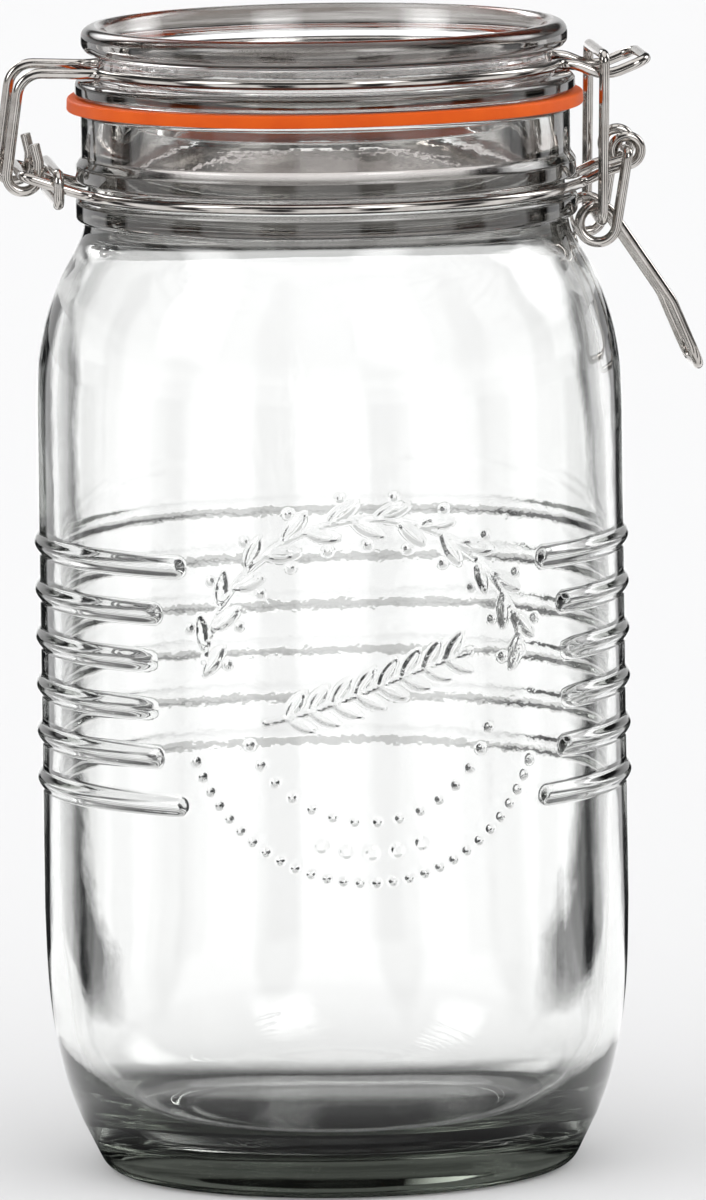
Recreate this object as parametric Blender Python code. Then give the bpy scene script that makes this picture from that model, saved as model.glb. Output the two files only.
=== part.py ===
"""Clip-top glass canister: jar, dished lid, rubber seal and the wire clamp that holds them shut.

Frame: +Z up, origin on the jar's axis in the plane that it stands on. The hinge is at -X,
the clamp at +X, and everything but the ribs' medallion gap is the same on both sides of y = 0.
"""
from math import acos, atan2, cos, degrees, hypot, pi, radians, sin, tan

import bpy
from mathutils import Matrix, Vector

MM = 0.001

# glass, radii and heights in millimetres
COLUMNS = 40            # facets round every turned piece
BODY_RADIUS = 55.0
BASE_RADIUS = 42.0      # outer edge of the ring that the jar stands on
PUSH_UP_RADIUS = 33.0
PUSH_UP = 0.8
FLOOR_HEIGHT = 9.0
WALL = 3.5
NECK_RADIUS = 45.9
MOUTH_RADIUS = 40.0
LIP_HEIGHT = 200.2
BEAD_RADIUS = 47.1      # the bead under the neck wire
COLLAR_RADIUS = 46.9    # the bead over the neck wire
GROOVE_RADIUS = 44.9    # between those two beads

# the ribs stop short of an oval gap on the -Y side
RIB_COUNT = 6
RIB_SPACING = 8.9
RIB_MIDDLE = 96.95
RIB_WIDTH = 3.4
RIB_PROUD = 0.9
GAP_HALF_WIDTH = 46.0
GAP_HALF_HEIGHT = 37.3

# seal and lid
GAP = 0.3               # between pieces that rest on each other
CHORD = 0.15            # how far the facets of a round groove and its wire stray
SEAL_INNER = 40.6
SEAL_RADIUS = 48.4
SEAL_THICKNESS = 2.0
LID_BOTTOM = 197.9
LID_PLUG_RADIUS = 38.8
FLANGE_RADIUS = 46.9
FLANGE_TOP = 205.9
LID_GROOVE_RADIUS = 42.6
RIM_RADIUS = 45.7
RIM_MIDDLE = 213.5
RIM_HALF_HEIGHT = 2.5
DISH_RADIUS = 41.3
DISH_FLOOR = 203.6

# wire clamp
WIRE = 1.0              # radius of the wire
WIRE_SIDES = 2          # bevel resolution, which gives eight sides
NECK_WIRE_Z = 185.2
LID_WIRE_Z = 208.0
PIVOT = (55.8, 191.2)   # x, z of the lever's pivot
CROSSBAR = (50.6, 178.5)  # x, z of the bail's lower bar, which turns in the lever's loops
BAIL_TOP = (51.3, 209.6)  # x, z of the bail's upper bar
HINGE = (-57.7, 189.4)  # x, z of the bar that the lid's hooks turn on
EYE_RADIUS = 2.65       # centreline of the neck wire's eyes
EYE_Y = 8.0
ARM_Y = 10.9
LOOP_CENTRE = (50.0, 177.7)
LOOP_RADIUS = 3.4
HANDLE_Y = 8.6
HANDLE_BEND = (63.9, 162.9)
HANDLE_END = (69.1, 150.4)
BAIL_Y = 13.2
TONGUE_Y = 10.5
TONGUE_DIP = (51.7, 205.4)
TONGUE_TIP = (59.6, 208.5)
HOOK_Y = 11.0
HOOK_RADIUS = 2.95
STRAND_Y = 13.7         # the neck wire's two strands behind the jar
TIE_X = -51.4


def clear_scene():
    for thing in list(bpy.data.objects):
        bpy.data.objects.remove(thing, do_unlink=True)


def material(name, colour, roughness, metallic=0.0, transmission=0.0):
    made = bpy.data.materials.new(name)
    made.use_nodes = True
    shader = made.node_tree.nodes["Principled BSDF"]
    shader.inputs["Base Color"].default_value = (*colour, 1)
    shader.inputs["Roughness"].default_value = roughness
    shader.inputs["Metallic"].default_value = metallic
    shader.inputs["Transmission Weight"].default_value = transmission
    return made


# ---- outlines -------------------------------------------------------------

def curve_through(points, steps=3):
    """Points on a smooth curve through the given (r, z) points, ends included."""
    padded = [points[0], *points, points[-1]]
    out = []
    for a, b, c, d in zip(padded, padded[1:], padded[2:], padded[3:]):
        for step in range(steps):
            t = step / steps
            out.append(tuple(
                0.5 * (2 * q + (r - p) * t + (2 * p - 5 * q + 4 * r - s) * t * t
                       + (3 * q - p - 3 * r + s) * t ** 3)
                for p, q, r, s in zip(a, b, c, d)))
    return out + [points[-1]]


def arc(centre, radius, start, end, steps, squash=1.0):
    """Points on an arc in the plane of an outline, from start to end degrees."""
    turns = [radians(start + (end - start) * n / steps) for n in range(steps + 1)]
    return [(centre[0] + radius * cos(t), centre[1] + squash * radius * sin(t)) for t in turns]


def rib_heights():
    return [RIB_MIDDLE + RIB_SPACING * (n - (RIB_COUNT - 1) / 2) for n in range(RIB_COUNT)]


def jar_outline():
    """The jar's half section, from the middle of the underside to the middle of the floor."""
    lower = curve_through([(46.0, 4.4), (49.4, 11.2), (52.8, 23.0), (54.6, 38.0),
                           (BODY_RADIUS, 52.0)], 2)
    shoulder = curve_through([(BODY_RADIUS, 138.0), (54.6, 152.0), (52.0, 163.8),
                              (47.4, 173.6), (45.6, 178.2)], 2)
    inner_wall = BODY_RADIUS - WALL
    outline = [(0.0, PUSH_UP), (PUSH_UP_RADIUS - 3, PUSH_UP), (PUSH_UP_RADIUS, 0.0),
               (BASE_RADIUS, 0.0), (44.6, 1.6), *lower]
    for height in rib_heights():
        outline += [(BODY_RADIUS, height + RIB_WIDTH * part) for part in (-0.5, 0.0, 0.5)]
    outline += shoulder
    outline += arc((45.5, 181.3), BEAD_RADIUS - 45.5, -75, 75, 3, 1.2)
    outline += [(GROOVE_RADIUS, 183.8), (GROOVE_RADIUS, 186.9), (46.6, 187.3),
                (COLLAR_RADIUS, 188.3), (46.3, 190.4), (NECK_RADIUS, 193.4),
                (NECK_RADIUS, LIP_HEIGHT - 0.8), (NECK_RADIUS - 0.8, LIP_HEIGHT)]
    outline += [(MOUTH_RADIUS + 0.6, LIP_HEIGHT), (MOUTH_RADIUS, LIP_HEIGHT - 0.6),
                (MOUTH_RADIUS, 186.0)]
    outline += curve_through([(42.0, 177.5), (48.6, 164.5), (51.2, 152.0), (inner_wall, 138.0)], 2)
    outline += curve_through([(inner_wall, 48.0), (50.0, 27.0), (45.5, 15.0), (38.0, 9.8)], 2)
    outline += [(30.0, FLOOR_HEIGHT), (0.0, FLOOR_HEIGHT)]
    return outline


def lid_outline():
    """The lid's half section, from the middle of its underside to the middle of its dish."""
    seal_top = LIP_HEIGHT + 2 * GAP + SEAL_THICKNESS
    outline = [(0.0, LID_BOTTOM), (LID_PLUG_RADIUS - 1.0, LID_BOTTOM),
               (LID_PLUG_RADIUS, LID_BOTTOM + 1.0), (LID_PLUG_RADIUS, seal_top),
               (FLANGE_RADIUS - 0.4, seal_top), (FLANGE_RADIUS, seal_top + 0.5),
               (FLANGE_RADIUS, FLANGE_TOP - 0.6), (FLANGE_RADIUS - 0.6, FLANGE_TOP),
               (LID_GROOVE_RADIUS + 0.3, FLANGE_TOP), (LID_GROOVE_RADIUS, FLANGE_TOP + 0.4),
               (LID_GROOVE_RADIUS, 210.3)]
    bead = RIM_RADIUS - RIM_HALF_HEIGHT
    outline += arc((bead, RIM_MIDDLE), RIM_HALF_HEIGHT, -65, 150, 7)
    outline += [(DISH_RADIUS - 0.9, 212.5), (39.2, 207.0), (37.0, 204.6), (33.0, DISH_FLOOR),
                (0.0, DISH_FLOOR)]
    return outline


def rib_reach(angle, height):
    """1 where a rib at this height stands proud at this angle, 0 in the gap on the -Y side."""
    off_middle = min(abs(height - RIB_MIDDLE) / GAP_HALF_HEIGHT, 1.0)
    half_gap = GAP_HALF_WIDTH / BODY_RADIUS * (1 - off_middle ** 2) ** 0.5
    from_gap = abs(atan2(cos(angle), -sin(angle)))
    return 1.0 if from_gap > half_gap else 0.0


# ---- solids ---------------------------------------------------------------

def finish(name, mesh, look, sharp=35):
    """Put a mesh in the scene under its name, smooth but for its sharp edges."""
    mesh.shade_smooth()
    mesh.set_sharp_from_angle(angle=radians(sharp))
    thing = bpy.data.objects.new(name, mesh)
    bpy.context.collection.objects.link(thing)
    thing.data.materials.append(look)
    return thing


def turned(name, outline, look, proud=None):
    """Turn a half section about Z. It runs outwards, up and back in, and may end on the axis."""
    vertices, rings = [], []
    for radius, height in outline:
        if radius == 0:
            rings.append([len(vertices)])
            vertices.append((0.0, 0.0, height * MM))
            continue
        rings.append(list(range(len(vertices), len(vertices) + COLUMNS)))
        for column in range(COLUMNS):
            angle = 2 * pi * column / COLUMNS
            wide = (radius + (proud(angle, radius, height) if proud else 0.0)) * MM
            vertices.append((wide * cos(angle), wide * sin(angle), height * MM))
    if len(rings[0]) > 1:
        rings.append(rings[0])
    faces = []
    for low, high in zip(rings, rings[1:]):
        for n in range(COLUMNS):
            m = (n + 1) % COLUMNS
            if len(low) == 1:
                faces.append((low[0], high[m], high[n]))
            elif len(high) == 1:
                faces.append((low[n], low[m], high[0]))
            else:
                faces.append((low[n], low[m], high[m], high[n]))
    mesh = bpy.data.meshes.new(name)
    mesh.from_pydata(vertices, [], faces)
    return finish(name, mesh, look)


def rib_crest(angle, radius, height):
    """How far the jar's surface stands out here: only the middle rows of the ribs do."""
    on_crest = any(abs(height - middle) < 0.1 for middle in rib_heights())
    on_outside = abs(radius - BODY_RADIUS) < 0.01
    return RIB_PROUD * rib_reach(angle, height) if on_crest and on_outside else 0.0


def bent(corners, steps=3):
    """A wire's route: straight runs between corners (x, y, z, bend radius), with round bends."""
    points = [Vector(corner[:3]) for corner in corners]
    out = [points[0]]
    for before, corner, after, (*_, radius) in zip(points, points[1:], points[2:], corners[1:]):
        back, on = (before - corner).normalized(), (after - corner).normalized()
        turn = pi - back.angle(on)
        if radius == 0 or turn < 0.02:
            out.append(corner)
            continue
        reach = radius * tan(turn / 2)
        middle = corner + (back + on).normalized() * hypot(radius, reach)
        start = corner + back * reach - middle
        axis = start.cross(corner + on * reach - middle).normalized()
        count = max(2, round(steps * turn / (pi / 2)))
        out += [middle + Matrix.Rotation(turn * n / count, 3, axis) @ start
                for n in range(count + 1)]
    return out + [points[-1]]


def ring_arc(radius, height, start, end, steps):
    """Points round the jar's axis from start to end degrees."""
    turns = [radians(start + (end - start) * n / steps) for n in range(steps + 1)]
    return [Vector((radius * cos(t), radius * sin(t), height)) for t in turns]


def flat_arc(centre, radius, start, end, steps, y_start, y_end):
    """Points on an arc in an XZ plane, moving across from y_start to y_end."""
    out = []
    for n in range(steps + 1):
        turn = radians(start + (end - start) * n / steps)
        y = y_start + (y_end - y_start) * n / steps
        out.append(Vector((centre[0] + radius * cos(turn), y, centre[1] + radius * sin(turn))))
    return out


def mirrored(points):
    """The same route on the +Y side, run the other way."""
    return [Vector((p.x, -p.y, p.z)) for p in reversed(points)]


def wire(name, points, look, joint=(0.0, 0.0, 0.0), closed=False):
    """A round wire along the points, with its origin on its joint's axis."""
    curve = bpy.data.curves.new(name, "CURVE")
    curve.dimensions = "3D"
    curve.bevel_depth = WIRE * MM
    curve.bevel_resolution = WIRE_SIDES
    curve.use_fill_caps = not closed
    spline = curve.splines.new("POLY")
    spline.points.add(len(points) - 1)
    for slot, point in zip(spline.points, points):
        slot.co = (*((point - Vector(joint)) * MM), 1)
    spline.use_cyclic_u = closed
    spline.use_smooth = True
    thing = bpy.data.objects.new(name, curve)
    bpy.context.collection.objects.link(thing)
    thing.location = Vector(joint) * MM
    curve.materials.append(look)
    return thing


# ---- wire routes, near half first (-Y), then mirrored --------------------------

def neck_wire_route():
    """Eye, round the neck, and the U behind the jar that the lid hangs on."""
    ring = GROOVE_RADIUS + GAP + CHORD + WIRE
    eye = flat_arc(PIVOT, EYE_RADIUS, 205, -90, 12, -EYE_Y, -EYE_Y)
    front = bent([(*eye[-1], 0), (51.5, -EYE_Y, 187.3, 3.0), (46.9, -EYE_Y, NECK_WIRE_Z, 2.5),
                  (44.4, -14.0, NECK_WIRE_Z, 0)])
    around = ring_arc(ring, NECK_WIRE_Z, -20, -158, 15)
    back = bent([(*around[-1], 0), (-45.2, -STRAND_Y, NECK_WIRE_Z + 0.2, 4.0),
                 (HINGE[0], -STRAND_Y, HINGE[1], 1.6), (HINGE[0], 0.0, HINGE[1], 0)])
    near = eye + front[1:-1] + around + back[1:-1]
    return near + mirrored(near)


def lid_wire_route():
    """Hook, up to the lid, round its groove, and the tongue that the bail presses on."""
    ring = LID_GROOVE_RADIUS + GAP + CHORD + WIRE
    hook = flat_arc(HINGE, HOOK_RADIUS, 10, -185, 8, -HOOK_Y, -HOOK_Y)
    tip = [Vector((-55.5, -HOOK_Y, 195.3)), Vector((-54.7, -HOOK_Y, 191.8))]
    rise = bent([(*hook[-1], 0), (-57.9, -HOOK_Y, 208.6, 4.5), (-43.2, -HOOK_Y, LID_WIRE_Z, 3.5),
                 (-41.6, -14.6, LID_WIRE_Z, 0)])
    around = ring_arc(ring, LID_WIRE_Z, -161, -20, 15)
    tongue = bent([(*around[-1], 0), (42.9, -TONGUE_Y, LID_WIRE_Z, 3.0),
                   (46.6, -TONGUE_Y, 207.6, 6.0), (*at(TONGUE_DIP, -TONGUE_Y), 7.0),
                   (*at(TONGUE_TIP, -TONGUE_Y), 3.0), (*at(TONGUE_TIP, 0.0), 0)])
    near = tip + hook + rise[1:-1] + around + tongue[1:-1]
    return near + mirrored(near)


def lever_route():
    """Pin, arm, loop, and the long handle down the jar's shoulder."""
    arm_at = leaves_loop(PIVOT, -1)
    handle_at = leaves_loop(HANDLE_BEND, 1)
    loop = flat_arc(LOOP_CENTRE, LOOP_RADIUS, arm_at, handle_at - 360, 14, -ARM_Y, -HANDLE_Y)
    pin = bent([(PIVOT[0], -EYE_Y + 2.2, PIVOT[1], 0), (*at(PIVOT, -ARM_Y), 1.4), (*loop[0], 0)])
    grip = bent([(*loop[-1], 0), (*at(HANDLE_BEND, -HANDLE_Y), 10.0),
                 (*at(HANDLE_END, -HANDLE_Y), 4.0), (*at(HANDLE_END, 0.0), 0)])
    near = pin[:-1] + loop + grip[1:-1]
    return near + mirrored(near)


def bail_route():
    """A closed oblong: the lower bar turns in the lever's loops, the upper one spans the tongue."""
    low, high = Vector(at(CROSSBAR, -BAIL_Y)), Vector(at(BAIL_TOP, -BAIL_Y))
    near = bent([(*at(CROSSBAR, 0.0), 0), (*low, 1.7), (*high, 1.7), (*at(BAIL_TOP, 0.0), 0)])
    return near[1:-1] + mirrored(near[1:-1])


def tie_route():
    """A flat link hung over the two strands behind the jar, which it keeps together."""
    slope = (HINGE[1] - NECK_WIRE_Z - 0.2) / (HINGE[0] + 45.2)
    strand = NECK_WIRE_Z + 0.2 + slope * (TIE_X + 45.2)
    wide = STRAND_Y + 2 * WIRE + GAP
    top, low = strand + 2 * WIRE + GAP + CHORD, strand - 3.3
    near = bent([(TIE_X, 0.0, low, 0), (TIE_X, -wide, low, 2.0), (TIE_X, -wide, top, 2.0),
                 (TIE_X, 0.0, top, 0)])
    return near[1:-1] + mirrored(near[1:-1])


def at(place, y):
    """An (x, z) place as a point on the plane y."""
    return (place[0], y, place[1])


def leaves_loop(far_end, side):
    """Where on the lever's loop a straight run to far_end (x, z) leaves it, in degrees."""
    run = Vector(far_end) - Vector(LOOP_CENTRE)
    return degrees(atan2(run.y, run.x) + side * acos(LOOP_RADIUS / run.length))


def build():
    clear_scene()
    glass = material("clear glass", (0.93, 0.96, 0.95), 0.03, transmission=1.0)
    rubber = material("orange rubber", (0.83, 0.16, 0.02), 0.45)
    steel = material("stainless wire", (0.60, 0.58, 0.55), 0.22, metallic=1.0)

    turned("glass_jar", jar_outline(), glass, rib_crest)
    lid = turned("glass_lid", lid_outline(), glass)
    low = LIP_HEIGHT + GAP
    seal = turned("rubber_seal", [(SEAL_INNER, low), (SEAL_RADIUS - 0.3, low),
                                  (SEAL_RADIUS, low + SEAL_THICKNESS / 2),
                                  (SEAL_RADIUS - 0.3, low + SEAL_THICKNESS),
                                  (SEAL_INNER, low + SEAL_THICKNESS)], rubber)
    wire("neck_wire", neck_wire_route(), steel)
    wire("wire_tie", tie_route(), steel, closed=True)
    lid_wire = wire("lid_wire", lid_wire_route(), steel, at(HINGE, 0.0))
    lever = wire("clamp_lever", lever_route(), steel, at(PIVOT, 0.0))
    bail = wire("bail_link", bail_route(), steel, at(CROSSBAR, 0.0), closed=True)

    for piece in (lid, seal):
        place = piece.matrix_world.copy()
        piece.parent = lid_wire
        piece.matrix_parent_inverse = Matrix.Translation(-lid_wire.location) @ place
    bail.parent = lever
    bail.matrix_parent_inverse = Matrix.Translation(-lever.location)


build()
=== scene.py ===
from math import acos, atan2, cos, degrees, hypot, pi, radians, sin, tan

import bpy
import numpy as np
from mathutils import Matrix, Vector


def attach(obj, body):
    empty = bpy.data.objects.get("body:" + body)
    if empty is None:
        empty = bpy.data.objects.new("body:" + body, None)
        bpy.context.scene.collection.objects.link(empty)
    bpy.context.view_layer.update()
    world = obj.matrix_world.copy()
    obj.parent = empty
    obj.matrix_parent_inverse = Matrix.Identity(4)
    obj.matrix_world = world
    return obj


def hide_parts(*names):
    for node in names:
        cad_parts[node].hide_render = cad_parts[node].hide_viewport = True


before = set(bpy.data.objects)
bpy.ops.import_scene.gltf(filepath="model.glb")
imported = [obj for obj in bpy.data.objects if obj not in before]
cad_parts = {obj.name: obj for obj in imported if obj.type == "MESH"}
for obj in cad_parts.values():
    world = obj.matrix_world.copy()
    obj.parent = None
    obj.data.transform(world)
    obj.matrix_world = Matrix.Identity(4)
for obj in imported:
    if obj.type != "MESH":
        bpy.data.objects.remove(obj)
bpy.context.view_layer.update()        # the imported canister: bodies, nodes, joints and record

# Sizes are in millimetres, as in the CAD: +Z up, the clamp at +X, the plain panel at -Y.
MM = 0.001
BODY_RADIUS = 55.0
LIP_HEIGHT = 200.2
NECK_LOW, NECK_HIGH = 187.0, 196.5   # the smooth part of the neck, under the seal
PANEL_MIDDLE = 96.9
PANEL_TURN = radians(1.5)
RIB_HEIGHTS = [119.2, 110.3, 101.4, 92.4, 83.5, 74.7]
RIB_ENDS = [37.0, 42.4, 45.3, 45.3, 42.4, 37.0]   # from the panel's middle, along the glass
RIB_HALF = 1.95         # half a rib's width
RIB_PROUD = 0.9
RIB_PROUD_BACK = 0.74   # pressed shallower round the back
BACK_FROM, BACK_WHOLE = 95.0, 135.0   # from the panel's middle, along the glass
RELIEF_LOW, RELIEF_HIGH, RELIEF_STEP = 59.0, 135.0, 0.37   # the wall's fine rows
RELIEF_HALF = 40.0      # the panel's pattern ends here, along the glass
BEAD_RINGS = [(36.0, 73, 200, 340), (24.7, 37, 198, 342)]   # radius, beads all round, from, to
BEAD_RADIUS = 1.05
BEAD_PROUD = 0.62
WREATH_RADIUS = 31.6
WREATH_LEAVES = 21
BUD_RING = 30.4
BUDS = 5
SPRIG_SLOPE = atan2(11.0, 40.0)
SPRIG_HALF = 20.0
PLUG_BOTTOM = 196.0
DISH_BOTTOM = 203.6

# The wires: a place is (x, z), and each ..._Y is how far a part stands from the middle plane.
WIRE = 0.99             # radius of the wire
WIRE_SIDES = 16
BEVEL = 0.16            # on a wire's cut ends
NECK_WIRE_Z = 185.2
NECK_WIRE_RADIUS = 46.35
LID_WIRE_Z = 208.0
LID_WIRE_RADIUS = 44.05
PIVOT = (55.8, 191.2)       # the lever's pins, in the neck wire's eyes
CROSSBAR = (50.6, 178.5)    # the bail's lower bar, in the lever's loops
BAIL_TOP = (51.3, 209.6)    # the bail's upper bar, over the tongue
HINGE = (-57.7, 189.4)      # the bar the lid wire's hooks turn on
EYE_RADIUS = 2.65
EYE_Y = 8.0
ARM_Y = 10.9
LOOP_CENTRE = (50.0, 177.7)
LOOP_RADIUS = 3.4
HANDLE_Y = 8.6
HANDLE_BEND = (63.9, 162.9)
HANDLE_END = (69.1, 150.4)
BAIL_Y = 13.2
TONGUE_Y = 10.5
TONGUE_DIP = (51.7, 205.4)
TONGUE_TIP = (59.6, 208.5)
HOOK_Y = 11.0
HOOK_RADIUS = 2.95
STRAND = (-45.2, NECK_WIRE_Z + 0.2)   # where the neck wire leaves the neck for the hinge bar
STRAND_Y = 13.7
TIE_X = -51.4

CAMERA_AZIMUTH = radians(-5.5)
CAMERA_DISTANCE = 2.8            # in metres, as are the height and the aim
CAMERA_HEIGHT = 0.453
CAMERA_AIM = (0.0039, 0.1069)    # to the right of the axis, and up
CAMERA_ROLL = -0.01487
CAMERA_LENS = 450.4

FLOOR_COLOUR = (0.735, 0.735, 0.74)
FLOOR_Z = -0.0002                 # in metres, as are the stage's other sizes
FLOOR_HALF = 60.0
EVEN_LIGHT = 1.32
BACKDROP_LIGHT = 1.03
BACKDROP_EDGE = (0.02, 0.30)      # heights in the world run from 0, level, to 1, straight up
ROOM_DARK = 0.05
HORIZON = 0.80
HORIZON_EDGE = (0.14, 0.21)
OVERHEAD_LIGHT = 1.5
OVERHEAD_EDGE = (0.80, 0.88)
PANEL_LIGHT = 7.0
PANEL_LIGHTS = 4
PANEL_LIGHT_TURN = 22.5           # the first panel of light's middle, in degrees from +X
PANEL_LIGHT_SIDES = (0.70, 0.98)  # a panel begins at the first and is full at the second
PANEL_LIGHT_FOOT = (0.22, 0.42)
PANEL_LIGHT_TOP = (0.58, 0.76)

CARDS_Z = -0.0001
CARDS_REACH = 30.0
# the black of the cards, and of the painted shade under the glass
CARD_AND_SHADE_BLACK = (0.012, 0.012, 0.013, 1)
CARD_WHITE = (0.985, 0.985, 0.99, 1)
SPOKES = 8
SPOKE_TURN = 17.75                # the first dark spoke's middle, in degrees from +X
SPOKE_START, SPOKE_FULL = 0.14, 0.28   # where the spokes begin and have their full width
SPOKE_NARROW, SPOKE_WIDE = 1.0, 0.60
SPOKE_SOFT = 0.20
# painted shade: a dark round under the glass
SHADE_UNDER_GLASS, SHADE_UNDER_GLASS_END = 0.049, 0.074  # the dark round under the glass fades between these


# ---- studio ---------------------------------------------------------------

def make_camera():
    look = Vector((-sin(CAMERA_AZIMUTH), cos(CAMERA_AZIMUTH), 0))
    right = Vector((cos(CAMERA_AZIMUTH), sin(CAMERA_AZIMUTH), 0))
    place = -look * CAMERA_DISTANCE + Vector((0, 0, CAMERA_HEIGHT))
    aim = right * CAMERA_AIM[0] + Vector((0, 0, CAMERA_AIM[1]))
    data = bpy.data.cameras.new("camera")
    data.lens = CAMERA_LENS
    data.sensor_width = 36
    data.clip_start, data.clip_end = 0.05, 200
    camera = bpy.data.objects.new("camera", data)
    bpy.context.scene.collection.objects.link(camera)
    turn = (aim - place).to_track_quat("-Z", "Y").to_matrix().to_4x4()
    camera.matrix_world = Matrix.Translation(place) @ turn @ Matrix.Rotation(CAMERA_ROLL, 4, "Z")
    bpy.context.scene.camera = camera


def grey(level):
    return (level, level, level, 1)


class Nodes:
    """A node tree, written as nested calls."""

    def __init__(self, tree):
        self.tree = tree
        tree.nodes.clear()

    def add(self, kind, inputs=None, **settings):
        node = self.tree.nodes.new("ShaderNode" + kind)
        for key, value in settings.items():
            setattr(node, key, value)
        for key, value in (inputs or {}).items():
            socket = node.inputs[key]
            if isinstance(value, bpy.types.NodeSocket):
                self.tree.links.new(value, socket)
            else:
                socket.default_value = value
        return node

    def math(self, operation, *values):
        return self.add("Math", dict(enumerate(values)), operation=operation).outputs[0]

    def mix(self, factor, start, end):
        """The colour start where factor is 0, and end where it is 1."""
        return self.add("Mix", {0: factor, 6: start, 7: end}, data_type="RGBA").outputs[2]

    def ramp(self, value, *stops):
        node = self.add("ValToRGB", {0: value})
        points = node.color_ramp.elements
        for point, (position, colour) in zip(points, stops):
            point.position = position
            point.color = grey(colour) if isinstance(colour, (int, float)) else (*colour, 1)
        return node.outputs[0]

    def rise(self, value, edge, start=0.0, end=1.0):
        """start up to the edge's first value, and end from its second one on."""
        return self.ramp(value, (edge[0], start), (edge[1], end))

    def noise(self, vector, scale, detail=2.0, roughness=0.5):
        inputs = {"Vector": vector, "Scale": scale, "Detail": detail, "Roughness": roughness}
        return self.add("TexNoise", inputs).outputs["Fac"]

    def away(self, x, y):
        """The distance from the Z axis."""
        return self.math("SQRT", self.math("MULTIPLY_ADD", x, x, self.math("MULTIPLY", y, y)))

    def lobes(self, x, y, count, first):
        """count waves from 0 to 1 round the Z axis, one with its top at first, in degrees."""
        turn = self.math("ARCTAN2", y, x)
        wave = self.math("MULTIPLY_ADD", turn, count, radians(-count * first))
        return self.math("MULTIPLY_ADD", self.math("COSINE", wave), 0.5, 0.5)


def room_light(nodes, x, y, height):
    """A dark room with four tall panels of light round it, and light overhead."""
    dark = (ROOM_DARK, ROOM_DARK, ROOM_DARK * 1.03, 1)   # a trace of blue
    panels = nodes.lobes(x, y, PANEL_LIGHTS, PANEL_LIGHT_TURN)
    sides = nodes.rise(panels, PANEL_LIGHT_SIDES, ROOM_DARK, PANEL_LIGHT)
    horizon = nodes.rise(height, HORIZON_EDGE, HORIZON, ROOM_DARK)
    low = nodes.mix(nodes.rise(height, PANEL_LIGHT_FOOT), horizon, sides)
    middle = nodes.mix(nodes.rise(height, PANEL_LIGHT_TOP), low, dark)
    return nodes.mix(nodes.rise(height, OVERHEAD_EDGE), middle, grey(OVERHEAD_LIGHT))


def make_world():
    """Even light for the floor. The glass and steel see a dark room with soft panels of light."""
    world = bpy.data.worlds.new("studio")
    bpy.context.scene.world = world
    world.cycles.sampling_method = "NONE"
    world.use_nodes = True
    nodes = Nodes(world.node_tree)
    way = nodes.add("TexCoord").outputs["Generated"]
    x, y, height = nodes.add("SeparateXYZ", {0: way}).outputs
    backdrop = nodes.rise(height, BACKDROP_EDGE, FLOOR_COLOUR[0] * EVEN_LIGHT, BACKDROP_LIGHT)
    ray = nodes.add("LightPath").outputs
    unlit = nodes.mix(ray["Is Camera Ray"], room_light(nodes, x, y, height), backdrop)
    lights_matt = nodes.math("MINIMUM", ray["Diffuse Depth"], 1.0)
    whole = nodes.mix(lights_matt, unlit, grey(EVEN_LIGHT))
    light = nodes.add("Background", {"Color": whole, "Strength": 1.0})
    nodes.add("OutputWorld", {0: light.outputs[0]})


def new_material(name):
    made = bpy.data.materials.new(name)
    made.use_nodes = True
    return made, Nodes(made.node_tree)


def spoke_paint(nodes):
    """White, with a dark round of painted shade under the glass and dark spokes that stand for
    black cards.
    """
    place = nodes.add("TexCoord").outputs["Object"]
    x, y, _ = nodes.add("SeparateXYZ", {0: place}).outputs
    away = nodes.away(x, y)
    edge = nodes.add("MapRange", {0: away, 1: SPOKE_START, 2: SPOKE_FULL,
                                  3: SPOKE_NARROW, 4: SPOKE_WIDE}).outputs[0]
    past = nodes.math("SUBTRACT", nodes.lobes(x, y, SPOKES, SPOKE_TURN), edge)
    gaps = nodes.rise(past, (0.0, SPOKE_SOFT), 1.0, 0.0)
    # a dark round of painted shade under the glass
    clear = nodes.add("MapRange", {0: away, 1: SHADE_UNDER_GLASS, 2: SHADE_UNDER_GLASS_END, 3: 0.0, 4: 1.0})
    return nodes.mix(nodes.math("MULTIPLY", gaps, clear.outputs[0]), CARD_AND_SHADE_BLACK, CARD_WHITE)


def stage_mesh(name, vertices, faces, paint):
    """A matt stage piece. paint(nodes) gives its colour."""
    mesh = bpy.data.meshes.new(name)
    mesh.from_pydata(vertices, [], faces)
    thing = bpy.data.objects.new(name, mesh)
    bpy.context.scene.collection.objects.link(thing)
    look, nodes = new_material(name)
    shader = nodes.add("BsdfDiffuse", {"Color": paint(nodes), "Roughness": 0.5})
    nodes.add("OutputMaterial", {0: shader.outputs[0]})
    mesh.materials.append(look)
    return thing


def ring_faces(inner, outer, height, count):
    turns = [2 * pi * n / count for n in range(count)]
    vertices = [(r * cos(t), r * sin(t), height) for r in (inner, outer) for t in turns]
    return vertices, [(n, (n + 1) % count, count + (n + 1) % count, count + n)
                      for n in range(count)]


def make_stage():
    """A pale floor. Dark cards lie on it, and painted shade under the glass, which only glass and
    steel see.
    """
    corners = [(x * FLOOR_HALF, y * FLOOR_HALF, FLOOR_Z)
               for x, y in ((-1, -1), (1, -1), (1, 1), (-1, 1))]
    stage_mesh("floor", corners, [(0, 1, 2, 3)], lambda nodes: (*FLOOR_COLOUR, 1))
    cards = stage_mesh("black_cards_and_shade", *ring_faces(0.0001, CARDS_REACH, CARDS_Z, 96), spoke_paint)
    cards.visible_camera = False
    cards.visible_diffuse = False
    cards.visible_shadow = False


# ---- materials ------------------------------------------------------------

def between(nodes, place, start, end):
    """0 up to start and 1 from end on, both in millimetres. With start above end it falls."""
    limits = {0: place, 1: start * MM, 2: end * MM, 3: 0.0, 4: 1.0}
    return nodes.add("MapRange", limits).outputs[0]


def band(nodes, place, low, high, fade_in, fade_out):
    """1 between low and high, 0 outside, with a fade inside each end."""
    return nodes.math("MULTIPLY", between(nodes, place, low, low + fade_in),
                      between(nodes, place, high, high - fade_out))


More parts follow.
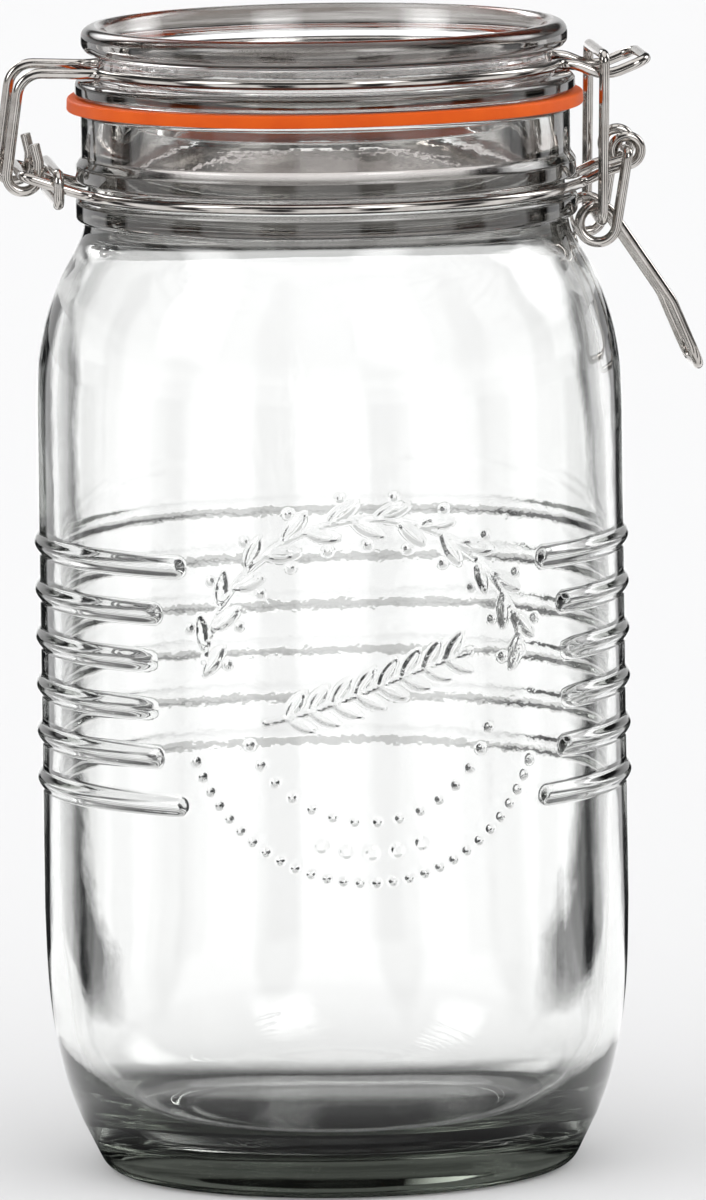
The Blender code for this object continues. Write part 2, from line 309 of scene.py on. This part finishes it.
def glass_tint(nodes, where, rim_shade, neck, darkening):
    """Clear, with a slightly warm painted grey shade on the neck, and painted dark shade in fine
    level streaking on the rims.
    """
    along = nodes.add("Mapping", {0: where, 3: (30.0, 30.0, 1100.0)}).outputs[0]
    # painted shade: dark, fine level streaking for the rims and beads
    rim_shade_streaks = nodes.ramp(nodes.noise(along, 1.0, 3.0), (0.38, (0.042, 0.036, 0.031)),
                         (0.72, (0.25, 0.235, 0.22)))
    # painted shade: the neck is tinted a slightly warm grey
    plain = nodes.mix(neck, grey(1.0), (0.82, 0.765, 0.75, 1))
    return nodes.mix(nodes.math("MULTIPLY", rim_shade, darkening), plain, rim_shade_streaks)


def glass_bump(nodes, where, panel, neck):
    """Slow swimming waves and a fine orange peel, stronger on the panel and the neck."""
    swim = nodes.noise(where, 38.0)
    peel = nodes.noise(where, 420.0)
    peel_depth = nodes.math("MULTIPLY_ADD", panel, 0.13, 0.05)
    peel_depth = nodes.math("MULTIPLY_ADD", neck, 0.09, peel_depth)
    surface = nodes.math("MULTIPLY_ADD", peel, peel_depth, swim)
    return nodes.add("Bump", {"Height": surface, "Strength": 0.10, "Distance": 0.0012}).outputs[0]


def glass_material(name, density, rim_shade_radius, rim_shade_low, rim_shade_high, darkening):
    """Clear pressed glass with a faint grey-green depth.

    Rims and beads outside a given radius, between two heights, are darker and streaked: painted
    shade.
    """
    made, nodes = new_material(name)
    where = nodes.add("TexCoord").outputs["Object"]
    x, y, height = nodes.add("SeparateXYZ", {0: where}).outputs
    # where the rims and beads get painted dark shade
    outer = between(nodes, nodes.away(x, y), rim_shade_radius, rim_shade_radius + 1.0)
    rim_shade = nodes.math("MULTIPLY", outer, band(nodes, height, rim_shade_low, rim_shade_high, 1.0, 1.0))
    neck = band(nodes, height, NECK_LOW, NECK_HIGH, 4.0, 1.0)
    panel = nodes.math("MULTIPLY", between(nodes, y, -36.0, -44.0),
                       band(nodes, height, 60.0, 138.0, 12.0, 12.0))
    haze = nodes.ramp(nodes.noise(where, 60.0, 4.0), (0.52, 0.0), (0.80, 0.035))
    haze = nodes.math("MULTIPLY_ADD", neck, 0.035, haze)
    shader = nodes.add("BsdfPrincipled", {
        "Base Color": glass_tint(nodes, where, rim_shade, neck, darkening), "Roughness": haze,
        "IOR": 1.52, "Transmission Weight": 1.0,
        "Normal": glass_bump(nodes, where, panel, neck)})
    depth = nodes.add("VolumeAbsorption", {"Color": (0.52, 0.54, 0.51, 1), "Density": density})
    nodes.add("OutputMaterial", {0: shader.outputs[0], 1: depth.outputs[0]})
    return made


def steel_material(name):
    """Drawn stainless wire: die lines along it, soft blotches, a warm grey."""
    made, nodes = new_material(name)
    along = nodes.add("UVMap", uv_map="wire").outputs[0]
    where = nodes.add("TexCoord").outputs["Object"]
    drawn = nodes.add("Mapping", {0: along, 3: (0.05, 14.0, 1.0)}).outputs[0]
    lines = nodes.noise(drawn, 3.0, 3.0, 0.6)
    blotch = nodes.noise(where, 260.0, 3.0, 0.6)
    colour = nodes.ramp(blotch, (0.30, (0.40, 0.375, 0.35)), (0.72, (0.57, 0.545, 0.52)))
    rough = nodes.math("MULTIPLY_ADD", blotch, 0.08, 0.05)
    rough = nodes.math("MULTIPLY_ADD", lines, 0.06, rough)
    bump = nodes.add("Bump", {"Height": lines, "Strength": 0.10, "Distance": 0.00006})
    shader = nodes.add("BsdfPrincipled", {"Base Color": colour, "Roughness": rough,
                                          "Metallic": 1.0, "Normal": bump.outputs[0]})
    nodes.add("OutputMaterial", {0: shader.outputs[0]})
    return made


def rubber_material(name):
    """Orange rubber with a fine grain, slightly cloudy, with a soft shine."""
    made, nodes = new_material(name)
    where = nodes.add("TexCoord").outputs["Object"]
    grain = nodes.noise(where, 2600.0, 3.0, 0.6)
    cloud = nodes.noise(where, 130.0, 3.0, 0.55)
    colour = nodes.ramp(cloud, (0.25, (0.60, 0.074, 0.001)), (0.75, (0.70, 0.104, 0.002)))
    rough = nodes.math("MULTIPLY_ADD", grain, 0.22, 0.40)
    bump = nodes.add("Bump", {"Height": grain, "Strength": 0.35, "Distance": 0.00008})
    shader = nodes.add("BsdfPrincipled", {
        "Base Color": colour, "Roughness": rough, "Specular IOR Level": 0.2,
        "Subsurface Weight": 0.12, "Subsurface Scale": 0.002,
        "Subsurface Radius": (1.0, 0.25, 0.08), "Normal": bump.outputs[0]})
    nodes.add("OutputMaterial", {0: shader.outputs[0]})
    return made


# ---- glass and rubber -------------------------------------------------------

def curve_through(points, steps=8):
    """Points on a smooth curve through the given (r, z) points, ends included."""
    padded = [points[0], *points, points[-1]]
    out = []
    for a, b, c, d in zip(padded, padded[1:], padded[2:], padded[3:]):
        for step in range(steps):
            t = step / steps
            out.append(tuple(
                0.5 * (2 * q + (r - p) * t + (2 * p - 5 * q + 4 * r - s) * t * t
                       + (3 * q - p - 3 * r + s) * t ** 3)
                for p, q, r, s in zip(a, b, c, d)))
    return out + [points[-1]]


def rounded(corners, steps=5):
    """An outline with its corners (r, z, radius) rounded off."""
    out = [tuple(corners[0][:2])]
    for before, (x, z, radius), after in zip(corners, corners[1:], corners[2:]):
        corner = Vector((x, z))
        if radius == 0:
            out.append((x, z))
            continue
        back = (Vector(before[:2]) - corner).normalized()
        on = (Vector(after[:2]) - corner).normalized()
        reach = radius / tan(back.angle(on) / 2)
        middle = corner + (back + on).normalized() * hypot(radius, reach)
        start, end = corner + back * reach - middle, corner + on * reach - middle
        first = atan2(start.y, start.x)
        swing = (atan2(end.y, end.x) - first + pi) % (2 * pi) - pi
        out += [(middle.x + radius * cos(first + swing * n / steps),
                 middle.y + radius * sin(first + swing * n / steps)) for n in range(steps + 1)]
    return out + [tuple(corners[-1][:2])]


def jar_outside():
    """From the middle of the underside up to the lip."""
    heel = curve_through([(41.6, 0.0), (43.2, 0.5), (44.6, 1.7), (46.0, 4.4), (47.6, 7.6),
                          (49.4, 11.2), (51.3, 16.6), (52.8, 23.0), (53.9, 29.8), (54.6, 38.0),
                          (BODY_RADIUS, 50.0)], 5)
    heel.append((BODY_RADIUS, RELIEF_LOW - RELIEF_STEP))
    rows = round((RELIEF_HIGH - RELIEF_LOW) / RELIEF_STEP)
    wall = [(BODY_RADIUS, RELIEF_LOW + (RELIEF_HIGH - RELIEF_LOW) * n / rows)
            for n in range(rows + 1)]
    shoulder = curve_through([(BODY_RADIUS, RELIEF_HIGH + RELIEF_STEP), (BODY_RADIUS, 139.0),
                              (54.95, 146.0), (54.5, 153.5), (53.0, 160.9), (50.4, 168.0),
                              (47.4, 173.6), (45.9, 177.0), (45.5, 179.2)], 5)
    beads = rounded([(45.5, 179.4, 0), (47.1, 179.6, 1.0), (47.1, 183.8, 1.1), (44.9, 183.9, 0.5),
                     (44.9, 186.8, 0.5), (46.9, 186.9, 0.7), (46.9, 190.0, 1.4),
                     (45.9, 191.6, 1.6), (45.9, LIP_HEIGHT, 1.0), (43.0, LIP_HEIGHT, 0)], 6)
    underside = [(0.0, 0.8), (14.0, 0.8), (27.0, 0.8)]
    underside += curve_through([(30.0, 0.72), (31.6, 0.45), (33.0, 0.05), (34.0, 0.0)], 4)
    return underside + [(38.0, 0.0)] + heel + wall + shoulder + beads


def jar_inside():
    """From the lip down to the middle of the floor."""
    lip = rounded([(43.0, LIP_HEIGHT, 0), (40.0, LIP_HEIGHT, 1.2), (40.0, 190.0, 0)], 6)
    neck = curve_through([(40.0, 187.0), (40.5, 182.5), (42.0, 177.5), (45.4, 171.2),
                          (48.6, 164.5), (50.4, 157.8), (51.2, 151.0), (51.5, 138.0)], 5)
    wall = [(51.5, 138.0 - 5.0 * n) for n in range(1, 18)]
    bowl = curve_through([(51.5, 49.0), (51.1, 38.0), (50.0, 27.0), (48.2, 20.2), (45.5, 15.0),
                          (42.2, 11.8), (38.0, 9.8), (33.5, 9.1), (28.0, 9.0)], 5)
    return lip + neck + wall + bowl + [(14.0, 9.0), (0.0, 9.0)]


def swell(distance):
    """A smooth mound: 1 in the middle, 0 from distance 1 on."""
    return np.cos(np.minimum(np.abs(distance), 1.0) * pi / 2) ** 2


def leaf(across, up, place, lean, length, width):
    """A pointed leaf lying on the glass, with a crease down its middle."""
    dx, dz = across - place[0], up - place[1]
    along = (dx * cos(lean) + dz * sin(lean)) / (length / 2)
    side = (dz * cos(lean) - dx * sin(lean)) / (width / 2)
    edge = np.maximum(1 - along ** 2, 1e-3)
    body = np.where(np.abs(along) < 1, swell(side / edge) ** 0.7, 0.0)
    return body * (1 - 0.35 * swell(side / 0.28))


def on_ring(radius, turn):
    return radius * cos(turn), radius * sin(turn)


def bead_rings(across, up):
    """Two rings of beads, open at the top, where the wreath is."""
    out = np.zeros_like(across)
    for radius, count, first, last in BEAD_RINGS:
        for turn in [360 * n / count for n in range(count)]:
            if first <= turn <= last:
                x, z = on_ring(radius, radians(turn))
                away = np.hypot(across - x, up - z)
                out = np.maximum(out, BEAD_PROUD * swell(away / BEAD_RADIUS))
    return out


def wreath(across, up):
    """A thin bent stem, with leaves and berries on its two sides in turn."""
    stem = (np.hypot(across, up) - WREATH_RADIUS) / 0.5
    out = 0.32 * swell(stem) * (up > 5.0)
    for n in range(WREATH_LEAVES):
        side = 1 if n % 2 else -1
        turn = radians(10 + 160 * n / (WREATH_LEAVES - 1))
        place = on_ring(WREATH_RADIUS + side * 1.7, turn)
        lean = turn + pi / 2 + side * radians(26)
        x, z = on_ring(36.0 if n % 2 else 27.0, turn)
        berry = swell(np.hypot(across - x, up - z))
        out = np.maximum(out, 0.62 * leaf(across, up, place, lean, 6.8, 2.9))
        out = np.maximum(out, 0.55 * berry)
    return out


def small_buds(across, up):
    """A row of open buds between the two rings of beads."""
    out = np.zeros_like(across)
    for n in range(BUDS):
        x, z = on_ring(BUD_RING, radians(252 + 9 * n))
        away = np.hypot(across - x, up - z)
        out = np.maximum(out, 0.6 * swell(away / 1.7) * (1 - 0.75 * swell(away / 0.8)))
    return out


def stem_height(across):
    """The sprig's stem: a leaning line with a slight wave in it."""
    return np.sin(across / 9.0) * 0.9 + across * tan(SPRIG_SLOPE)


def sprig(across, up):
    """A stem across the middle of the panel, with leaves in pairs."""
    stem = (up - stem_height(across)) / 0.62
    out = 0.55 * swell(stem) * (np.abs(across) < SPRIG_HALF)
    for x in [-15.5 + 4.3 * n for n in range(8)]:
        for side in (-1, 1):
            lean = SPRIG_SLOPE + side * radians(40)
            place = (x + 2.9 * cos(lean), stem_height(x) + 2.9 * sin(lean))
            out = np.maximum(out, 0.6 * leaf(across, up, place, lean, 6.4, 2.5))
    return out


def panel_relief(across, up):
    """The plain panel's own pattern: rings of beads, a wreath over them and a sprig across."""
    parts = [part(across, up) for part in (bead_rings, wreath, small_buds, sprig)]
    return np.maximum.reduce(parts)


def jar_relief(turn, height):
    """How far the outside stands proud. turn is from the panel's middle, in radians."""
    across = turn * BODY_RADIUS
    out = np.zeros_like(across)
    proud = np.interp(np.abs(across), (BACK_FROM, BACK_WHOLE), (RIB_PROUD, RIB_PROUD_BACK))
    for middle, end in zip(RIB_HEIGHTS, RIB_ENDS):
        past = np.maximum(end - np.abs(across), 0)
        away = np.hypot(past, height - middle) / RIB_HALF
        out = np.maximum(out, proud * swell(away) ** 0.6)
    near = np.abs(across) < RELIEF_HALF
    out[near] = np.maximum(out[near], panel_relief(across[near], height[near] - PANEL_MIDDLE))
    return out


def jar_turns():
    """Columns round the jar: close together on the panel, wider apart round the back."""
    half, step = 43.5, 0.435   # in degrees
    close = np.arange(-half, half + 0.01, step)
    rest = np.linspace(half, 360 - half, 125)[1:-1]
    return np.radians(np.concatenate([close, rest])) + PANEL_TURN


def finish_piece(name, vertices, faces, look, body, stands_for, sharp=40):
    mesh = bpy.data.meshes.new(name)
    mesh.from_pydata((np.asarray(vertices) * MM).tolist(), [], faces)
    mesh.shade_smooth()
    mesh.set_sharp_from_angle(angle=radians(sharp))
    mesh.materials.append(look)
    thing = bpy.data.objects.new(name, mesh)
    bpy.context.scene.collection.objects.link(thing)
    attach(thing, body)
    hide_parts(stands_for)
    return thing


def lathe(outline, turns, shape=None):
    """Turn an outline (r, z) about Z, from -Y. shape(radius, height, turn) may move the surface."""
    outline = np.array(outline)
    pole_low, pole_high = int(outline[0, 0] == 0), int(outline[-1, 0] == 0)
    rows = outline[pole_low:len(outline) - pole_high]
    radius = np.repeat(rows[:, :1], len(turns), 1)
    height = np.repeat(rows[:, 1:], len(turns), 1)
    turn = np.repeat(turns[None], len(rows), 0)
    if shape:
        radius, height = shape(radius, height, turn)
    grid = np.stack([radius * np.sin(turn), -radius * np.cos(turn), height], 2).reshape(-1, 3)
    vertices, faces, count = grid.tolist(), [], len(turns)
    last = len(rows) if pole_low or pole_high else len(rows) + 1
    for row in range(last - 1):
        a, b = row * count, (row + 1) % len(rows) * count
        faces += [(a + n, a + (n + 1) % count, b + (n + 1) % count, b + n) for n in range(count)]
    if pole_low:
        faces += [(len(vertices), (n + 1) % count, n) for n in range(count)]
        vertices.append((0, 0, outline[0, 1]))
    if pole_high:
        top = (len(rows) - 1) * count
        faces += [(top + n, top + (n + 1) % count, len(vertices)) for n in range(count)]
        vertices.append((0, 0, outline[-1, 1]))
    return vertices, faces


def inner_waves(turn, height):
    """The slow unevenness of the inside of pressed glass."""
    return 0.07 * (np.sin(3 * turn + height / 31) + np.sin(5 * turn - height / 17 + 1.3)
                   + 0.7 * np.sin(height / 11 + 2 * turn))


def make_jar(look):
    outside, inside = jar_outside(), jar_inside()
    outline = outside + inside[1:]
    on_outside = len(outside) - 1   # without the pole, rows up to here face out

    def shape(radius, height, turn):
        from_panel = (turn - PANEL_TURN + pi) % (2 * pi) - pi
        proud = np.zeros_like(radius)
        rows = np.arange(len(radius)) < on_outside
        wall = rows & (height[:, 0] >= RELIEF_LOW) & (height[:, 0] <= RELIEF_HIGH)
        proud[wall] = jar_relief(from_panel[wall], height[wall])
        inner = ~rows & (height[:, 0] < 186) & (height[:, 0] > 11)
        proud[inner] = inner_waves(turn, height)[inner]
        return radius + proud, height

    vertices, faces = lathe(outline, jar_turns(), shape)
    finish_piece("jar_glass", vertices, faces, look, "jar", "glass_jar")


def even_turns(count):
    return np.arange(count) * 2 * pi / count


def make_lid(look):
    profile = rounded([
        (0.0, PLUG_BOTTOM, 0), (36.1, PLUG_BOTTOM, 0.9), (38.3, 202.8, 0.6), (46.9, 202.8, 0.9),
        (46.9, 205.9, 1.1), (42.6, 205.9, 0.7), (42.6, 210.6, 0.7), (45.75, 211.4, 2.0),
        (45.7, 215.9, 2.3), (42.0, 215.9, 1.6), (39.6, 209.6, 3.0), (37.4, DISH_BOTTOM, 3.4),
        (0.0, DISH_BOTTOM, 0)], 7)
    under = [(3.0 * n, PLUG_BOTTOM) for n in range(1, 12)]
    dish = [(36.0 - 3.0 * n, DISH_BOTTOM) for n in range(1, 12)]
    outline = [profile[0], *under, *profile[1:-1], *dish, profile[-1]]

    def shape(radius, height, turn):
        in_dish = (radius < 36) & (height > 200)
        ripple = 0.05 * np.cos(radius / 2.6) * (radius > 6)
        return radius, height + np.where(in_dish, ripple, 0.0)

    vertices, faces = lathe(outline, even_turns(288), shape)
    finish_piece("lid_glass", vertices, faces, look, "lid", "glass_lid")


def make_seal(look):
    outline = rounded([
        (44.0, 200.35, 0), (48.4, 200.35, 0.35), (48.3, 202.7, 0.45), (44.0, 202.7, 0),
        (40.6, 202.7, 0.4), (40.6, 200.35, 0.4), (44.0, 200.35, 0)], 4)[:-1]

    def shape(radius, height, turn):
        outer = np.clip((radius - 46.9) / 1.5, 0, 1)
        droop = 0.10 * np.sin(2 * turn + 0.6) + 0.06 * np.sin(5 * turn)
        return radius + outer * 0.03 * np.sin(9 * turn), height + outer * (droop - 0.08)

    vertices, faces = lathe(outline, even_turns(288), shape)
    finish_piece("seal_rubber", vertices, faces, look, "lid", "rubber_seal")


# ---- wires: routes in the near half (-Y), then mirrored --------------------------

def at(place, y):
    return (place[0], y, place[1])


def bent(corners, steps=9):
    """A wire's route: straight runs between corners (x, y, z, bend radius), with round bends."""
    points = [Vector(corner[:3]) for corner in corners]
    out = [points[0]]
    for before, corner, after, (*_, radius) in zip(points, points[1:], points[2:], corners[1:]):
        back, on = (before - corner).normalized(), (after - corner).normalized()
        turn = pi - back.angle(on)
        if radius == 0 or turn < 0.02:
            out.append(corner)
            continue
        reach = radius * tan(turn / 2)
        middle = corner + (back + on).normalized() * hypot(radius, reach)
        start = corner + back * reach - middle
        axis = start.cross(corner + on * reach - middle).normalized()
        count = max(3, round(steps * turn / (pi / 2)))
        out += [middle + Matrix.Rotation(turn * n / count, 3, axis) @ start
                for n in range(count + 1)]
    return out + [points[-1]]


def ring_arc(radius, height, start, end, steps):
    turns = [radians(start + (end - start) * n / steps) for n in range(steps + 1)]
    return [Vector((radius * cos(t), radius * sin(t), height)) for t in turns]


def flat_arc(centre, radius, start, end, steps, y_start, y_end):
    """Points on an arc in an XZ plane, moving across from y_start to y_end."""
    out = []
    for n in range(steps + 1):
        turn = radians(start + (end - start) * n / steps)
        y = y_start + (y_end - y_start) * n / steps
        out.append(Vector((centre[0] + radius * cos(turn), y, centre[1] + radius * sin(turn))))
    return out


def mirrored(points):
    return [Vector((p.x, -p.y, p.z)) for p in reversed(points)]


def neck_wire_route():
    """From the clamp's eye, round the neck and back to the hinge bar."""
    eye = flat_arc(PIVOT, EYE_RADIUS, 205, -90, 40, -EYE_Y, -EYE_Y)
    front = bent([(*eye[-1], 0), (51.5, -EYE_Y, 187.3, 3.0), (46.9, -EYE_Y, NECK_WIRE_Z, 2.5),
                  (44.4, -14.0, NECK_WIRE_Z, 0)])
    around = ring_arc(NECK_WIRE_RADIUS, NECK_WIRE_Z, -20, -158, 92)
    back = bent([(*around[-1], 0), (*at(STRAND, -STRAND_Y), 4.0),
                 (*at(HINGE, -STRAND_Y), 1.6), (*at(HINGE, 0.0), 0)])
    near = eye + front[1:-1] + around + back[1:-1]
    return near + mirrored(near)


def lid_wire_route():
    """From the hook on the hinge bar up to the lid's groove, and round it to the tongue."""
    hook = flat_arc(HINGE, HOOK_RADIUS, 10, -185, 30, -HOOK_Y, -HOOK_Y)
    tip = [Vector((-55.5, -HOOK_Y, 195.3)), Vector((-54.7, -HOOK_Y, 191.8))]
    rise = bent([(*hook[-1], 0), (-57.9, -HOOK_Y, 208.6, 4.5), (-43.2, -HOOK_Y, LID_WIRE_Z, 3.5),
                 (-41.6, -14.6, LID_WIRE_Z, 0)])
    around = ring_arc(LID_WIRE_RADIUS, LID_WIRE_Z, -161, -20, 94)
    tongue = bent([(*around[-1], 0), (42.9, -TONGUE_Y, LID_WIRE_Z, 3.0),
                   (46.6, -TONGUE_Y, 207.6, 6.0), (*at(TONGUE_DIP, -TONGUE_Y), 7.0),
                   (*at(TONGUE_TIP, -TONGUE_Y), 3.0), (*at(TONGUE_TIP, 0.0), 0)])
    near = tip + hook + rise[1:-1] + around + tongue[1:-1]
    return near + mirrored(near)


def leaves_loop(far_end, side):
    """Where on the lever's loop a straight run to far_end (x, z) leaves it, in degrees."""
    run = Vector(far_end) - Vector(LOOP_CENTRE)
    return degrees(atan2(run.y, run.x) + side * acos(LOOP_RADIUS / run.length))


def lever_route():
    """From the pin down the arm, once round the bail's bar, and out along the handle."""
    arm_at = leaves_loop(PIVOT, -1)
    handle_at = leaves_loop(HANDLE_BEND, 1)
    loop = flat_arc(LOOP_CENTRE, LOOP_RADIUS, arm_at, handle_at - 360, 48, -ARM_Y, -HANDLE_Y)
    pin = bent([(PIVOT[0], -EYE_Y + 2.2, PIVOT[1], 0), (*at(PIVOT, -ARM_Y), 1.4), (*loop[0], 0)])
    grip = bent([(*loop[-1], 0), (*at(HANDLE_BEND, -HANDLE_Y), 10.0),
                 (*at(HANDLE_END, -HANDLE_Y), 4.0), (*at(HANDLE_END, 0.0), 0)])
    near = pin[:-1] + loop + grip[1:-1]
    return near + mirrored(near)


def bail_route():
    """A closed link from the lever's loops up over the tongue."""
    low, high = Vector(at(CROSSBAR, -BAIL_Y)), Vector(at(BAIL_TOP, -BAIL_Y))
    near = bent([(*at(CROSSBAR, 0.0), 0), (*low, 1.7), (*high, 1.7), (*at(BAIL_TOP, 0.0), 0)])
    return near[1:-1] + mirrored(near[1:-1])


def tie_route():
    """A closed band round the two strands behind the neck."""
    slope = (HINGE[1] - STRAND[1]) / (HINGE[0] - STRAND[0])
    strand = STRAND[1] + slope * (TIE_X - STRAND[0])
    wide = STRAND_Y + 2.3
    top, low = strand + 2.45, strand - 3.3
    near = bent([(TIE_X, 0.0, low, 0), (TIE_X, -wide, low, 2.0), (TIE_X, -wide, top, 2.0),
                 (TIE_X, 0.0, top, 0)])
    return near[1:-1] + mirrored(near[1:-1])


def spaced(points, closed, longest=3.0):
    """The route with no two points closer than a hair and no run longer than longest."""
    kept = [points[0]]
    for point in points[1:]:
        if (point - kept[-1]).length > 0.02:
            kept.append(point)
    ends = list(zip(kept, kept[1:] + kept[:1])) if closed else list(zip(kept, kept[1:]))
    out = []
    for a, b in ends:
        parts = max(1, round((b - a).length / longest))
        out += [a.lerp(b, n / parts) for n in range(parts)]
    return out if closed else out + [kept[-1]]


def directions(path, closed):
    """The way the route runs at each of its points."""
    last = len(path) - 1
    if closed:
        ends = [(path[n - 1], path[(n + 1) % len(path)]) for n in range(len(path))]
    else:
        ends = [(path[max(n - 1, 0)], path[min(n + 1, last)]) for n in range(len(path))]
    return [(after - before).normalized() for before, after in ends]


def carried_sides(ways):
    """A direction across the wire at each point, carried along without twisting."""
    side = ways[0].orthogonal().normalized()
    sides = [side]
    for before, way in zip(ways, ways[1:]):
        side = before.rotation_difference(way) @ side
        side = (side - way * side.dot(way)).normalized()
        sides.append(side)
    return sides


def closing_twist(ways, sides):
    """How far a closed wire's end is turned from its start, in radians."""
    back = ways[-1].rotation_difference(ways[0]) @ sides[-1]
    return atan2(back.cross(sides[0]).dot(ways[0]), back.dot(sides[0]))


def wire_rings(path, closed):
    """A ring for each point of the path: middle, way, side, radius, turn. Cut ends are bevelled."""
    count = len(path)
    ways = directions(path, closed)
    sides = carried_sides(ways)
    twist = closing_twist(ways, sides) if closed else 0.0
    rings = [(path[n], ways[n], sides[n], WIRE, twist * n / count) for n in range(count)]
    if closed:
        return rings
    first, last = rings[0], rings[-1]
    rings[0] = (first[0] + first[1] * BEVEL, *first[1:])
    rings[-1] = (last[0] - last[1] * BEVEL, *last[1:])
    return [(*first[:3], WIRE - BEVEL, 0.0), *rings, (*last[:3], WIRE - BEVEL, 0.0)]


def ring_corners(middle, way, side, radius, turned):
    other = way.cross(side)
    turns = [2 * pi * step / WIRE_SIDES + turned for step in range(WIRE_SIDES)]
    return [tuple(middle + (side * cos(t) + other * sin(t)) * radius) for t in turns]


def wire_faces(count, closed):
    """The faces between count rings, and an open wire's two cut ends."""
    faces = []
    for n in range(count if closed else count - 1):
        a, b = n * WIRE_SIDES, (n + 1) % count * WIRE_SIDES
        faces += [(a + m, a + (m + 1) % WIRE_SIDES, b + (m + 1) % WIRE_SIDES, b + m)
                  for m in range(WIRE_SIDES)]
    if not closed:
        faces.append(tuple(reversed(range(WIRE_SIDES))))
        faces.append(tuple(range((count - 1) * WIRE_SIDES, count * WIRE_SIDES)))
    return faces


def lay_grain(mesh, middles, closed):
    """The UVs of the wire's grain: along it in centimetres, and once round it."""
    runs = [0.0]
    for before, middle in zip(middles, middles[1:]):
        runs.append(runs[-1] + (middle - before).length)
    whole = runs[-1] + (middles[-1] - middles[0]).length
    layer = mesh.uv_layers.new(name="wire")
    for face in mesh.polygons:
        marks = [divmod(corner, WIRE_SIDES) for corner in face.vertices]
        closing = closed and len(middles) - 1 in [ring for ring, _ in marks]
        seam = len(marks) == 4 and WIRE_SIDES - 1 in [step for _, step in marks]
        for loop, (ring, step) in zip(face.loop_indices, marks):
            along = whole if closing and ring == 0 else runs[ring]
            around = 1.0 if seam and step == 0 else step / WIRE_SIDES
            layer.data[loop].uv = (along / 10, around)


def wire(name, route, look, body, stands_for, closed=False):
    """A round wire swept along a route without twisting, its cut ends bevelled."""
    rings = wire_rings(spaced(route, closed), closed)
    vertices = [corner for ring in rings for corner in ring_corners(*ring)]
    faces = wire_faces(len(rings), closed)
    thing = finish_piece(name, vertices, faces, look, body, stands_for, 35)
    lay_grain(thing.data, [ring[0] for ring in rings], closed)


make_camera()
make_world()
make_stage()

# the rims and beads picked out here get painted dark shade
jar_look = glass_material("jar glass", density=55.0, rim_shade_radius=45.2,
                          rim_shade_low=178.5, rim_shade_high=191.5, darkening=0.95)
lid_look = glass_material("lid glass", density=9.0, rim_shade_radius=43.5,
                          rim_shade_low=203.0, rim_shade_high=230.0, darkening=1.0)
rubber_look = rubber_material("orange rubber")
steel_look = steel_material("stainless wire")

make_jar(jar_look)
make_lid(lid_look)
make_seal(rubber_look)
wire("neck_wire_steel", neck_wire_route(), steel_look, "jar", "neck_wire")
wire("wire_tie_steel", tie_route(), steel_look, "jar", "wire_tie", closed=True)
wire("lid_wire_steel", lid_wire_route(), steel_look, "lid", "lid_wire")
wire("clamp_lever_steel", lever_route(), steel_look, "lever", "clamp_lever")
wire("bail_link_steel", bail_route(), steel_look, "bail", "bail_link", closed=True)

bpy.context.scene.view_settings.view_transform = "Standard"
cycles = bpy.context.scene.cycles
cycles.max_bounces = 24
cycles.transmission_bounces = 24
cycles.glossy_bounces = 12
cycles.transparent_max_bounces = 16
